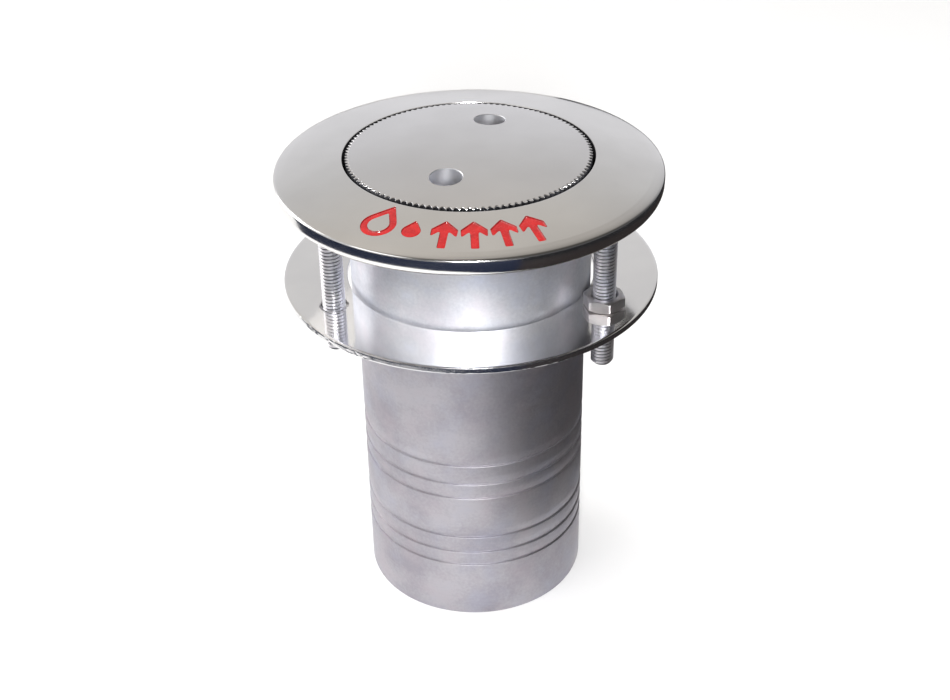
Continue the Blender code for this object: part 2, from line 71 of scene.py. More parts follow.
DOME_RISE = 4.77 * MM
FLANGE_RADIUS = radius_of("deck_flange")
RIM_Z = top_of("cap") - DOME_RISE
UNDERSIDE_Z = RIM_Z - 4.3 * MM
SEAT_Z = RIM_Z - 2.2 * MM
BORE_RADIUS = 26.8 * MM
NECK_RADIUS = 26.45 * MM
NECK_END_Z = bottom_of("deck_flange")
THROAT_RADIUS = 22.2 * MM
THROAT_END_Z = RIM_Z - 16.5 * MM

TAIL_RADIUS = radius_of("hose_tail")
TAIL_BORE_RADIUS = 23.9 * MM
TAIL_TOP_Z = top_of("hose_tail")
BARB_DEPTH = 0.4 * MM
BARB_LEDGES = [RIM_Z - z * MM for z in (61.0, 66.0, 69.9, 81.0, 85.3, 89.0)]

CAP_RADIUS = 26.2 * MM
CAP_FLOOR_Z = SEAT_Z + 0.3 * MM
SKIRT_RADIUS = 21.8 * MM
SKIRT_BORE_RADIUS = 19.8 * MM
SKIRT_END_Z = bottom_of("cap")
BOSS_RADIUS = 4.0 * MM
BOSS_END_Z = SEAT_Z - 2.0 * MM
TOOTH_COUNT = 120
TOOTH_DEPTH = 0.68 * MM
TOOTH_CUTS = (1.0, 1.0, 0.5, 0.0, 0.0, 0.5)
KEY_HOLE_RADIUS = 3.4 * MM
KEY_HOLE_DEPTH = 4.6 * MM
KEY_HOLE_PLACE = 14.8 * MM
KEY_HOLE_AZIMUTH = math.radians(71.6)

CAP_PITCH = 3.0 * MM
CAP_THREAD_DEPTH = 1.1 * MM
RIDGE_START_Z = SKIRT_END_Z + 1.3 * MM
RIDGE_TURNS = 3.0

STUD_RADIUS = 2.5 * MM
STUD_PITCH = 0.8 * MM
STUD_ROOT = STUD_RADIUS - 0.6134 * STUD_PITCH
NUT_ACROSS_FLATS = 8.0 * MM

PLATE_HOLE_RADIUS = 27.2 * MM
PLATE_STUD_HOLE_RADIUS = 3.15 * MM

MARK_RADIUS = 34.2 * MM
ENAMEL_TOP = 0.08 * MM
ENAMEL_EDGE = 0.20 * MM
ENAMEL_BOTTOM = 0.55 * MM
POCKET_BOTTOM = 0.62 * MM
ENAMEL_GAP = 0.03 * MM


def dome(radius):
    """The height of the low dome that the flange and the cap share."""
    return RIM_Z + DOME_RISE * (1 - (radius / FLANGE_RADIUS) ** 2)


def polar(radius, azimuth):
    return (radius * math.cos(azimuth), radius * math.sin(azimuth))


# ---------------------------------------------------------------- mesh tools

def add_object(name, mesh, sharp):
    mesh.shade_smooth()
    mesh.set_sharp_from_angle(angle=math.radians(sharp))
    obj = bpy.data.objects.new(name, mesh)
    bpy.context.scene.collection.objects.link(obj)
    return obj


def from_points(name, points, faces, sharp=35.0):
    """A mesh object whose faces are turned outwards, with doubled points joined."""
    mesh = bpy.data.meshes.new(name)
    mesh.from_pydata([tuple(p) for p in points], [], faces)
    shape = bmesh.new()
    shape.from_mesh(mesh)
    bmesh.ops.remove_doubles(shape, verts=shape.verts[:], dist=1e-7)
    bmesh.ops.dissolve_degenerate(shape, edges=shape.edges[:], dist=1e-8)
    bmesh.ops.recalc_face_normals(shape, faces=shape.faces[:])
    shape.to_mesh(mesh)
    shape.free()
    return add_object(name, mesh, sharp)


def ring_faces(first, second, count):
    """Quads between two rings of points that start at these indices."""
    faces = []
    for i in range(count):
        j = (i + 1) % count
        faces.append((first + i, first + j, second + j, second + i))
    return faces


def turned_points(profile, columns, closed, bend=None):
    """Points and faces of a profile of (radius, height) pairs turned about Z.

    bend(radius, height, angle) may move a point.
    """
    points = []
    starts = []
    for radius, height in profile:
        starts.append((len(points), radius > 0))
        if radius <= 0:
            points.append((0.0, 0.0, height))
            continue
        for i in range(columns):
            angle = FULL_TURN * i / columns
            r, z = bend(radius, height, angle) if bend else (radius, height)
            points.append((r * math.cos(angle), r * math.sin(angle), z))
    pairs = list(zip(starts, starts[1:]))
    if closed:
        pairs.append((starts[-1], starts[0]))
    faces = []
    for (first, first_ring), (second, second_ring) in pairs:
        if first_ring and second_ring:
            faces += ring_faces(first, second, columns)
        elif first_ring or second_ring:
            pole, ring = (second, first) if first_ring else (first, second)
            faces += [(pole, ring + i, ring + (i + 1) % columns) for i in range(columns)]
    return points, faces


def turned(name, profile, columns=192, closed=True, bend=None, sharp=35.0):
    points, faces = turned_points(profile, columns, closed, bend)
    return from_points(name, points, faces, sharp)


def moved(points, x, y, z=0.0):
    return [(px + x, py + y, pz + z) for px, py, pz in points]


def arc(centre, radius, start, end, steps):
    """Profile points on an arc, from start to end in degrees."""
    angles = [math.radians(start + (end - start) * i / steps) for i in range(steps + 1)]
    return [(centre[0] + radius * math.cos(a), centre[1] + radius * math.sin(a)) for a in angles]


def combined(name, parts):
    """One helper object from several, which are removed."""
    shape = bmesh.new()
    for part in parts:
        shape.from_mesh(part.data)
        bpy.data.objects.remove(part, do_unlink=True)
    mesh = bpy.data.meshes.new(name)
    shape.to_mesh(mesh)
    shape.free()
    return add_object(name, mesh, 35.0)


def boolean(obj, other, operation, sharp=35.0):
    """Applies an exact Boolean and removes the other object."""
    cut = obj.modifiers.new("cut", "BOOLEAN")
    cut.operation = operation
    cut.object = other
    cut.solver = "EXACT"
    bpy.context.view_layer.update()
    graph = bpy.context.evaluated_depsgraph_get()
    mesh = bpy.data.meshes.new_from_object(obj.evaluated_get(graph))
    obj.modifiers.clear()
    obj.data = mesh
    bpy.data.objects.remove(other, do_unlink=True)
    mesh.shade_smooth()
    mesh.set_sharp_from_angle(angle=math.radians(sharp))
    return obj


def prism(name, outline, low, high):
    """An outline of (x, y) points between two heights, each a number or a function of (x, y)."""
    def height(level, x, y):
        return level(x, y) if callable(level) else level

    count = len(outline)
    points = [(x, y, height(low, x, y)) for x, y in outline]
    points += [(x, y, height(high, x, y)) for x, y in outline]
    faces = [tuple(range(count)), tuple(range(count, 2 * count))] + ring_faces(0, count, count)
    return from_points(name, points, faces)


def cylinder(name, radius, low, high, place=(0.0, 0.0), count=48):
    circle = [polar(radius, FULL_TURN * i / count) for i in range(count)]
    return prism(name, [(x + place[0], y + place[1]) for x, y in circle], low, high)


SAME_DIRECTION = 0.995


def smooth_dome(obj):
    """Gives every corner that lies on the shared dome the dome's own normal.

    No facet then shows in the polish.
    """
    mesh = obj.data
    count = len(mesh.loops)
    points = np.empty(len(mesh.vertices) * 3)
    mesh.vertices.foreach_get("co", points)
    points = points.reshape(-1, 3)
    corner = np.empty(count, np.int32)
    mesh.loops.foreach_get("vertex_index", corner)
    face_normals = np.empty(len(mesh.polygons) * 3)
    mesh.polygons.foreach_get("normal", face_normals)
    sizes = np.empty(len(mesh.polygons), np.int32)
    mesh.polygons.foreach_get("loop_total", sizes)
    face_normals = np.repeat(face_normals.reshape(-1, 3), sizes, axis=0)
    place = points[corner]
    radius = np.hypot(place[:, 0], place[:, 1])
    slope = 2 * DOME_RISE / FLANGE_RADIUS ** 2
    normals = np.column_stack([slope * place[:, 0], slope * place[:, 1], np.ones(count)])
    normals /= np.linalg.norm(normals, axis=1)[:, None]
    off = np.abs(place[:, 2] - dome(radius))
    on_dome = (off < 0.01 * MM) & ((face_normals * normals).sum(1) > SAME_DIRECTION)
    normals[~on_dome] = 0.0
    mesh.normals_split_custom_set([tuple(n) for n in normals])


def helical_bar(name, inner, outer, root, crest, first_turn, last_turn, steps=72):
    """A closed helical bar, root wide at the inner radius and crest wide at the outer one."""
    corners = [(inner, -root / 2), (outer, -crest / 2), (outer, crest / 2), (inner, root / 2)]
    count = round((last_turn - first_turn) * steps)
    points = []
    for i in range(count + 1):
        turn = first_turn + (last_turn - first_turn) * i / count
        angle = FULL_TURN * turn
        middle = RIDGE_START_Z + CAP_PITCH * turn
        points += [(r * math.cos(angle), r * math.sin(angle), middle + dz) for r, dz in corners]
    faces = [(0, 1, 2, 3), tuple(range(4 * count, 4 * count + 4))]
    for i in range(count):
        faces += ring_faces(4 * i, 4 * i + 4, 4)
    return from_points(name, points, faces, 30.0)


# ---------------------------------------------------------------- materials

def add_node(tree, kind, values=None, **settings):
    """A new node. values gives its inputs, each a constant or another node's output."""
    node = tree.nodes.new(kind)
    for key, value in settings.items():
        setattr(node, key, value)
    for key, value in (values or {}).items():
        if isinstance(value, bpy.types.NodeSocket):
            tree.links.new(value, node.inputs[key])
        else:
            node.inputs[key].default_value = value
    return node


class Shade:
    """A material's node tree, with short calls for the nodes that these finishes share."""

    def __init__(self, name):
        self.material = bpy.data.materials.new(name)
        self.material.use_nodes = True
        self.tree = self.material.node_tree
        self.shader = self.tree.nodes["Principled BSDF"]
        self.place = self.add("ShaderNodeTexCoord").outputs["Object"]

    def add(self, kind, values=None, **settings):
        return add_node(self.tree, kind, values, **settings)

    def noise(self, scale, detail=3.0, vector=None, roughness=0.55):
        values = {"Vector": vector or self.place, "Scale": scale, "Detail": detail, "Roughness": roughness}
        return self.add("ShaderNodeTexNoise", values).outputs["Fac"]

    def span(self, value, low, high, to_low, to_high):
        """Maps a value from low..high to to_low..to_high, clamped."""
        values = {"Value": value, "From Min": low, "From Max": high, "To Min": to_low, "To Max": to_high}
        return self.add("ShaderNodeMapRange", values).outputs["Result"]

    def mix(self, factor, first, second):
        values = {"Factor": factor, 6: first, 7: second}
        return self.add("ShaderNodeMix", values, data_type="RGBA").outputs[2]

    def math(self, operation, first, second=0.0):
        return self.add("ShaderNodeMath", {0: first, 1: second}, operation=operation).outputs["Value"]

    def round_place(self, around, along, use_height):
        """A point that changes slowly round the axis and fast along the height, or along the radius."""
        parts = self.add("ShaderNodeSeparateXYZ", {"Vector": self.place})
        sideways = {"X": parts.outputs["X"], "Y": parts.outputs["Y"]}
        flat = self.add("ShaderNodeCombineXYZ", sideways).outputs["Vector"]
        direction = self.add("ShaderNodeVectorMath", {0: flat}, operation="NORMALIZE").outputs["Vector"]
        if use_height:
            run = parts.outputs["Z"]
        else:
            run = self.add("ShaderNodeVectorMath", {0: flat}, operation="LENGTH").outputs["Value"]
        scaled = {0: direction, "Scale": around}
        stretched = self.add("ShaderNodeVectorMath", scaled, operation="SCALE").outputs["Vector"]
        up = self.add("ShaderNodeCombineXYZ", {"Z": self.math("MULTIPLY", run, along)}).outputs["Vector"]
        return self.add("ShaderNodeVectorMath", {0: stretched, 1: up}, operation="ADD").outputs["Vector"]

    def bump(self, height, strength, distance, normal=None):
        values = {"Height": height, "Strength": strength, "Distance": distance}
        if normal:
            values["Normal"] = normal
        return self.add("ShaderNodeBump", values).outputs["Normal"]

    def connect(self, **sockets):
        names = {"colour": "Base Color", "roughness": "Roughness", "normal": "Normal"}
        for key, value in sockets.items():
            self.tree.links.new(value, self.shader.inputs[names[key]])

    def metal(self):
        self.shader.inputs["Metallic"].default_value = 1.0


def rgb(r, g, b):
    return (r, g, b, 1.0)


def polished_steel(name, light, dark, smooth, rough, lathe=0.15):
    """Buffed stainless steel: faint clouds, a fine grain, and light turning marks round the axis."""
    made = Shade(name)
    made.metal()
    clouds = made.noise(55.0, 3.0)
    grain = made.noise(2600.0, 2.0)
    rings = made.noise(1.0, 2.0, made.round_place(3.0, 2600.0, False))
    colour = made.mix(made.span(clouds, 0.35, 0.7, 0.0, 1.0), rgb(*light), rgb(*dark))
    wear = made.math("ADD", made.math("MULTIPLY", clouds, 0.6), made.math("MULTIPLY", grain, 0.4))
    made.connect(
        colour=colour,
        roughness=made.span(wear, 0.3, 0.7, smooth, rough),
        normal=made.bump(rings, lathe, 0.004 * MM, made.bump(grain, 0.25, 0.004 * MM)),
    )
    return made.material


def satin_steel(name, light, dark, smooth, rough, micrometres, drawn=False):
    """Satin stainless steel: blotches from handling and a bluish and pinkish cast.

    The bumps' depth is given in micrometres. Drawn tube also has streaks round Z.
    """
    depth = micrometres * 0.001 * MM
    made = Shade(name)
    made.metal()
    blotches = made.noise(75.0, 5.0)
    cast = made.noise(130.0, 3.0)
    streaks = made.noise(1.0, 3.0, made.round_place(5.0, 1900.0, True)) if drawn else made.noise(600.0, 3.0)
    grain = made.noise(1500.0, 3.0)
    mottle = made.math("ADD", made.math("MULTIPLY", blotches, 0.7), made.math("MULTIPLY", grain, 0.3))
    base = made.mix(made.span(mottle, 0.40, 0.62, 0.0, 1.0), rgb(*light), rgb(*dark))
    cool = rgb(light[0] * 0.88, light[1] * 0.93, light[2] * 1.05)
    warm = rgb(light[0] * 1.02, light[1] * 0.94, light[2] * 0.95)
    tinted = made.mix(made.span(cast, 0.5, 0.7, 0.0, 0.4), base, cool)
    tinted = made.mix(made.span(cast, 0.48, 0.32, 0.0, 0.4), tinted, warm)
    wear = made.math("ADD", made.math("MULTIPLY", blotches, 0.5), made.math("MULTIPLY", streaks, 0.5))
    made.connect(
        colour=tinted,
        roughness=made.span(wear, 0.3, 0.7, smooth, rough),
        normal=made.bump(streaks, 0.35, depth, made.bump(grain, 0.4, depth)),
    )
    return made.material


def red_enamel(name):
    """Baked red enamel: glossy, a little uneven, with a deeper red where it lies thick."""
    made = Shade(name)
    made.shader.inputs["Coat Weight"].default_value = 0.3
    made.shader.inputs["Specular IOR Level"].default_value = 0.35
    made.shader.inputs["Coat Roughness"].default_value = 0.08
    thickness = made.noise(420.0, 3.0)
    fine = made.noise(1500.0, 2.0)
    thick = made.span(thickness, 0.35, 0.7, 0.0, 1.0)
    made.connect(
        colour=made.mix(thick, rgb(0.46, 0.010, 0.011), rgb(0.32, 0.004, 0.006)),
        roughness=made.span(fine, 0.3, 0.7, 0.14, 0.34),
        normal=made.bump(thickness, 0.8, 0.2 * MM, made.bump(fine, 0.4, 0.04 * MM)),
    )
    return made.material


def seal_rubber(name):
    """Black nitrile rubber with a faint bloom."""
    made = Shade(name)
    bloom = made.noise(300.0, 4.0)
    grain = made.noise(3000.0, 2.0)
    bloomed = made.span(bloom, 0.4, 0.7, 0.0, 1.0)
    made.connect(
        colour=made.mix(bloomed, rgb(0.012, 0.012, 0.013), rgb(0.028, 0.028, 0.03)),
        roughness=made.span(grain, 0.3, 0.7, 0.48, 0.66),
        normal=made.bump(grain, 0.3, 0.01 * MM),
    )
    return made.material


FLANGE_STEEL = polished_steel("flange_steel", (0.77, 0.76, 0.75), (0.71, 0.70, 0.69), 0.12, 0.20)
CAP_STEEL = polished_steel("cap_steel", (0.74, 0.73, 0.73), (0.69, 0.68, 0.68), 0.16, 0.26)
PLATE_STEEL = polished_steel("plate_steel", (0.88, 0.87, 0.86), (0.82, 0.81, 0.81), 0.06, 0.13, 0.1)
HOLE_STEEL = satin_steel("hole_steel", (0.86, 0.86, 0.88), (0.78, 0.78, 0.80), 0.40, 0.48, 0.5)
# Very dark steel for the gap between the cap and the flange's bore: painted shade standing in for the shade
# in that narrow gap.
GAP_SHADE_STEEL = satin_steel("gap_painted_shade_steel", (0.10, 0.10, 0.11), (0.05, 0.05, 0.055), 0.45, 0.60, 10, True)
NECK_STEEL = satin_steel("neck_steel", (0.74, 0.75, 0.79), (0.60, 0.61, 0.66), 0.50, 0.62, 8, True)
TAIL_STEEL = satin_steel("tail_steel", (0.45, 0.435, 0.465), (0.35, 0.335, 0.37), 0.46, 0.58, 12, True)
STUD_STEEL = satin_steel("stud_steel", (0.92, 0.91, 0.93), (0.80, 0.79, 0.81), 0.32, 0.44, 2)
# Dark steel for the studs' thread roots: painted shade in the roots between the bright crests.
ROOT_SHADE_STEEL = satin_steel("thread_root_painted_shade_steel", (0.16, 0.16, 0.17), (0.08, 0.08, 0.085), 0.45, 0.60, 2)
NUT_STEEL = satin_steel("nut_steel", (0.74, 0.72, 0.72), (0.62, 0.60, 0.61), 0.26, 0.36, 2)
WASHER_STEEL = satin_steel("washer_steel", (0.68, 0.67, 0.67), (0.56, 0.55, 0.56), 0.26, 0.38, 10)
EDGE_STEEL = polished_steel("sheared_edge_steel", (0.76, 0.75, 0.75), (0.55, 0.55, 0.57), 0.10, 0.30, 0.3)
CHAIN_STEEL = satin_steel("chain_steel", (0.70, 0.69, 0.68), (0.58, 0.57, 0.56), 0.18, 0.32, 6)
ENAMEL = red_enamel("enamel_red")
RUBBER = seal_rubber("rubber_black")


def finish_piece(obj, body, nodes, slot, *materials):
    obj.data.materials.clear()
    for made in materials:
        obj.data.materials.append(made)
    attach(obj, body)
    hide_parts(*nodes)
    return obj


# ---------------------------------------------------------------- enamel marks

def rounded(outline, radius, steps=4):
    """The outline with its corners rounded off."""
    result = []
    count = len(outline)
    for i in range(count):
        before, here, after = (Vector(outline[(i + k) % count]) for k in (-1, 0, 1))
        turn = abs((here - before).angle_signed(after - here, 0.0))
        if turn < math.radians(20):
            result.append(tuple(here))
            continue
        room = 0.45 * min((here - before).length, (after - here).length)
        reach = min(radius * math.tan(turn / 2), room)
        start = here + (before - here).normalized() * reach
        end = here + (after - here).normalized() * reach
        for k in range(steps + 1):
            t = k / steps
            result.append(tuple(start * (1 - t) ** 2 + here * 2 * t * (1 - t) + end * t * t))
    return result


def droplet_outline(round_radius, grow):
    radius = round_radius + grow
    tip = 1.75 * radius
    touch = math.acos(radius / tip)
    steps = 40
    angles = [touch + (FULL_TURN - 2 * touch) * i / steps for i in range(steps + 1)]
    return rounded([(tip, 0.0)] + [polar(radius, a) for a in angles], 0.25 * MM)


def arrow_outline(grow):
    slant = math.sqrt(2)
    half_length, half_span, stroke = 4.1 * MM, 2.6 * MM, 1.6 * MM
    tip = half_length + slant * grow
    crotch = half_length - slant * (stroke + grow)
    span = half_span + grow
    stem = stroke / 2 + grow
    tail = -half_length - grow
    side = [(tip - span, span), (crotch - span, span), (crotch - stem, stem), (tail, stem)]
    return rounded([(tip, 0.0)] + side + [(u, -v) for u, v in reversed(side)], 0.35 * MM)


def placed(outline, degrees):
    """Turns an outline so that its +X points at the cap's axis, and moves it out to the marks' radius."""
    azimuth = math.radians(degrees)
    cosine, sine = math.cos(azimuth + math.pi), math.sin(azimuth + math.pi)
    x, y = polar(MARK_RADIUS, azimuth)
    return [(x + u * cosine - v * sine, y + u * sine + v * cosine) for u, v in outline]


def filled(outlines, longest):
    """A flat bmesh of small triangles between the outlines."""
    shape = bmesh.new()
    for outline in outlines:
        ring = [shape.verts.new((x, y, 0.0)) for x, y in outline]
        for a, b in zip(ring, ring[1:] + ring[:1]):
            shape.edges.new((a, b))
    bmesh.ops.triangle_fill(shape, use_beauty=True, edges=shape.edges[:], normal=(0, 0, 1))
    for _ in range(6):
        long_edges = [e for e in shape.edges if e.calc_length() > longest]
        if not long_edges:
            break
        bmesh.ops.subdivide_edges(shape, edges=long_edges, cuts=1)
        bmesh.ops.triangulate(shape, faces=shape.faces[:])
        inner = [e for e in shape.edges if not e.is_boundary]
        bmesh.ops.beautify_fill(shape, faces=shape.faces[:], edges=inner)
    return shape


def edge_distance(points, outlines):
    """How far each point is from the nearest outline."""
    nearest = np.full(len(points), 1.0)
    for outline in outlines:
        ends = np.array(outline)
        for a, b in zip(ends, np.roll(ends, -1, axis=0)):
            run = b - a
            t = np.clip(((points - a) @ run) / max(run @ run, 1e-18), 0, 1)
            nearest = np.minimum(nearest, np.linalg.norm(points - (a + t[:, None] * run), axis=1))
    return nearest


def make_inlay(name, outlines):
    """One enamel inlay: a pillow that is low at its edges and lies just under the dome in the middle."""
    shape = filled(outlines, 0.42 * MM)
    bottom = bmesh.ops.extrude_face_region(shape, geom=shape.faces[:])
    lower = {item for item in bottom["geom"] if isinstance(item, bmesh.types.BMVert)}
    top = [v for v in shape.verts if v not in lower]
    flat = np.array([v.co[:2] for v in top])
    rise = np.clip(edge_distance(flat, outlines) / (0.55 * MM), 0, 1)
    rise = 1 - (1 - rise) ** 2
    for vert, share in zip(top, rise):
        depth = ENAMEL_EDGE + (ENAMEL_TOP - ENAMEL_EDGE) * share
        uneven = 0.012 * MM * noise.noise(vert.co * 900)
        vert.co.z = dome(vert.co.xy.length) - depth - 0.012 * MM + uneven
    for vert in lower:
        vert.co.z = dome(vert.co.xy.length) - ENAMEL_BOTTOM
    bmesh.ops.recalc_face_normals(shape, faces=shape.faces[:])
    mesh = bpy.data.meshes.new(name)
    shape.to_mesh(mesh)
    shape.free()
    inlay = add_object(name, mesh, 50.0)
    return finish_piece(inlay, "deck_fitting", [name.removesuffix("_paint")], "red_enamel", ENAMEL)


def make_pocket(name, outlines):
    """The cutter for an inlay's pocket. Its floor follows the dome."""
    def floor(x, y):
        return dome(math.hypot(x, y)) - POCKET_BOTTOM

    cutter = prism(name, outlines[0], floor, RIM_Z + 8 * MM)
    for inner in outlines[1:]:
        boolean(cutter, prism(name + "_core", inner, RIM_Z - 5 * MM, RIM_Z + 9 * MM), "DIFFERENCE")
    return cutter


def mark_outlines(kind, grow):
    if kind == "ring_droplet":
        return [droplet_outline(3.6 * MM, grow), droplet_outline(2.2 * MM, -grow)]
    if kind == "droplet":
        return [droplet_outline(1.9 * MM, grow)]
    return [arrow_outline(grow)]


MARKS = {
    "enamel_large_droplet": ("ring_droplet", -121.5),
    "enamel_small_droplet": ("droplet", -109.5),
    "enamel_arrow_1": ("arrow", -98.5),
    "enamel_arrow_2": ("arrow", -88.5),
    "enamel_arrow_3": ("arrow", -78.5),
    "enamel_arrow_4": ("arrow", -68.5),
}


def make_marks():
    """Makes the inlays and returns the cutters for their pockets."""
    pockets = []
    for name, (kind, degrees) in MARKS.items():
        inlay = [placed(outline, degrees) for outline in mark_outlines(kind, 0.0)]
        pocket = [placed(outline, degrees) for outline in mark_outlines(kind, ENAMEL_GAP)]
        make_inlay(name + "_paint", inlay)
        pockets.append(make_pocket(name + "_cut", pocket))
    return pockets


# ---------------------------------------------------------------- flange

STUD_SIDES = ("left", "right", "rear")


def flange_profile():
    """The flange's section: dome, turned rim, neck, throat with its relief, and the cap's seat."""
    crease = 39.0 * MM
    drop = 0.055

    def top(radius):
        return dome(radius) - max(0.0, radius - crease) * drop

    edge = 0.25 * MM
    bore_top = dome(BORE_RADIUS)
    rows = [(BORE_RADIUS, bore_top - edge), (BORE_RADIUS + 0.07 * MM, bore_top - 0.08 * MM)]
    rows += [(BORE_RADIUS + edge, dome(BORE_RADIUS + edge))]
    radii = (28, 29.5, 31, 32.5, 34, 35.5, 37, 38.2, 39.0, 39.3, 40.0, 40.6)
    rows += [(r * MM, top(r * MM)) for r in radii]
    rim = [
        (40.95, -0.02), (41.2, -0.12), (41.37, -0.26), (41.46, -0.44), (41.5, -0.7),
        (41.5, -1.2), (41.5, -1.9), (41.47, -2.4), (41.4, -2.8), (41.26, -3.17),
        (41.05, -3.5), (40.76, -3.79), (40.4, -4.03), (39.95, -4.2), (39.4, -4.3),
    ]
    scale = FLANGE_RADIUS / (41.5 * MM)
    rows += [(r * MM * scale, RIM_Z + z * MM) for r, z in rim]
    fillet = 1.2 * MM
    rows += arc((NECK_RADIUS + fillet, UNDERSIDE_Z - fillet), fillet, 90, 180, 6)
    chamfer = 0.2 * MM
    rows += [(NECK_RADIUS, NECK_END_Z + chamfer), (NECK_RADIUS - chamfer, NECK_END_Z)]
    socket = TAIL_RADIUS + 0.1 * MM
    relief = THROAT_RADIUS + CAP_THREAD_DEPTH + 0.3 * MM
    rows += [
        (socket, NECK_END_Z),
        (socket, THROAT_END_Z),
        (THROAT_RADIUS, THROAT_END_Z),
        (THROAT_RADIUS, THROAT_END_Z + 1.2 * MM),
        (relief, THROAT_END_Z + 1.6 * MM),
        (relief, THROAT_END_Z + 3.2 * MM),
        (THROAT_RADIUS, THROAT_END_Z + 3.6 * MM),
        (THROAT_RADIUS, SEAT_Z - 0.3 * MM),
        (THROAT_RADIUS + 0.3 * MM, SEAT_Z),
        (BORE_RADIUS - 0.2 * MM, SEAT_Z),
        (BORE_RADIUS, SEAT_Z + 0.2 * MM),
    ]
    return rows


def make_flange(pockets):
    flange = turned("flange_casting", flange_profile(), 288)
    gap = 0.1 * MM
    low, high = UNDERSIDE_Z - 1 * MM, top_of("stud_left") + gap
    holes = [
        cylinder("tapped_" + side, STUD_RADIUS + gap, low, high, axis_of("stud_" + side))
        for side in STUD_SIDES
    ]
    inner, outer = THROAT_RADIUS - 0.8 * MM, THROAT_RADIUS + CAP_THREAD_DEPTH
    groove = helical_bar("throat_groove", inner, outer, 2.55 * MM, 1.4 * MM, -0.6, 4.0)
    boolean(flange, combined("flange_cuts", pockets + holes), "DIFFERENCE")
    boolean(flange, groove, "DIFFERENCE", 30.0)
    smooth_dome(flange)
    steels = (FLANGE_STEEL, NECK_STEEL, GAP_SHADE_STEEL)
    finish_piece(flange, "deck_fitting", ["deck_flange"], "polished_steel", *steels)
    for face in flange.data.polygons:
        centre = face.center
        on_neck = centre.z < UNDERSIDE_Z - 0.2 * MM
        recess = centre.xy.length < BORE_RADIUS + 0.02 * MM and centre.z > SEAT_Z - 0.1 * MM
        below_lip = centre.z < dome(BORE_RADIUS) - 0.4 * MM
        # The bore's wall below its lip and the seat take the very dark gap steel: painted shade in the gap
        # round the cap.
        face.material_index = 2 if recess and below_lip else int(on_neck)
    return flange


# ---------------------------------------------------------------- hose tail

def tail_profile():
    """The tube's wall. Above each ledge it draws in gently, and below it the wall steps back out."""
    chamfer = 0.25 * MM
    rows = [(TAIL_RADIUS - chamfer, TAIL_TOP_Z), (TAIL_RADIUS, TAIL_TOP_Z - chamfer)]
    last = TAIL_TOP_Z - 2 * MM
    for ledge in BARB_LEDGES:
        ramp = min(2.6 * MM, last - ledge - 0.75 * MM)
        for share in (1.0, 0.85, 0.7, 0.55, 0.4, 0.26, 0.14):
            rows.append((TAIL_RADIUS - 0.72 * BARB_DEPTH * (1 - share) ** 1.6, ledge + ramp * share))
        rows += [
            (TAIL_RADIUS - 0.72 * BARB_DEPTH, ledge + 0.14 * MM),
            (TAIL_RADIUS - BARB_DEPTH, ledge),
            (TAIL_RADIUS - 0.95 * BARB_DEPTH, ledge - 0.03 * MM),
            (TAIL_RADIUS - 0.14 * BARB_DEPTH, ledge - 0.15 * MM),
            (TAIL_RADIUS - 0.04 * BARB_DEPTH, ledge - 0.22 * MM),
            (TAIL_RADIUS, ledge - 0.34 * MM),
            (TAIL_RADIUS, ledge - 0.6 * MM),
        ]
        last = ledge - 0.6 * MM
    rows += [(TAIL_RADIUS, 8 * MM), (TAIL_RADIUS, 0.45 * MM), (TAIL_RADIUS - 0.12 * MM, 0.14 * MM)]
    rows += [(TAIL_RADIUS - 0.4 * MM, 0.0)]
    rows += [(TAIL_BORE_RADIUS + 0.2 * MM, 0.0), (TAIL_BORE_RADIUS, 0.2 * MM)]
    rows += [(TAIL_BORE_RADIUS, z * MM) for z in (20, 40, 60)] + [(TAIL_BORE_RADIUS, TAIL_TOP_Z)]
    return rows


def make_tail():
    def bend(radius, height, angle):
        """The rolled tube is out of round by a few hundredths of a millimetre."""
        if radius < TAIL_RADIUS - 0.5 * MM or height > TAIL_TOP_Z - 20 * MM:
            return radius, height
        wave = noise.noise(Vector((2 * math.cos(angle), 2 * math.sin(angle), height * 60)))
        return radius - 0.02 * MM * (1 + wave), height

    tail = turned("tail_tube", tail_profile(), 240, bend=bend, sharp=38.0)
    return finish_piece(tail, "deck_fitting", ["hose_tail"], "satin_steel", TAIL_STEEL)


# ---------------------------------------------------------------- cap

def cap_profile():
    """The disc's section, with the ring groove under its head."""
    edge_z = dome(CAP_RADIUS)
    radii = (1.5, 4, 7, 10, 13, 16, 19, 21.5, 23.5, 24.8, 25.35)
    rows = [(0.0, dome(0.0))] + [(r * MM, dome(r * MM)) for r in radii]
    rows += [
        (25.80 * MM, dome(25.80 * MM)),
        (26.08 * MM, edge_z - 0.005 * MM),
        (26.16 * MM, edge_z - 0.04 * MM),
        (CAP_RADIUS, edge_z - 0.12 * MM),
        (CAP_RADIUS, CAP_FLOOR_Z + 0.3 * MM),
        (CAP_RADIUS - 0.3 * MM, CAP_FLOOR_Z),
    ]
    groove_outer, groove_inner, groove_top = 25.15 * MM, 23.45 * MM, CAP_FLOOR_Z + 1.4 * MM
    rows += [
        (groove_outer, CAP_FLOOR_Z),
        (groove_outer, groove_top),
        (groove_inner, groove_top),
        (groove_inner, CAP_FLOOR_Z),
        (SKIRT_RADIUS, CAP_FLOOR_Z),
        (0.0, CAP_FLOOR_Z),
    ]
    return rows


def tooth_bend(radius, height, angle):
    """Cuts the straight teeth into the cap's side and its top edge."""
    start = 25.4 * MM
    if radius < start + 0.01 * MM or height < CAP_FLOOR_Z + 0.1 * MM:
        return radius, height
    phase = (angle * TOOTH_COUNT / FULL_TURN) % 1.0
    count = len(TOOTH_CUTS)
    cut = TOOTH_CUTS[int(phase * count + 0.5) % count]
    share = (radius - start) / (CAP_RADIUS - start)
    return radius - TOOTH_DEPTH * cut * share, height


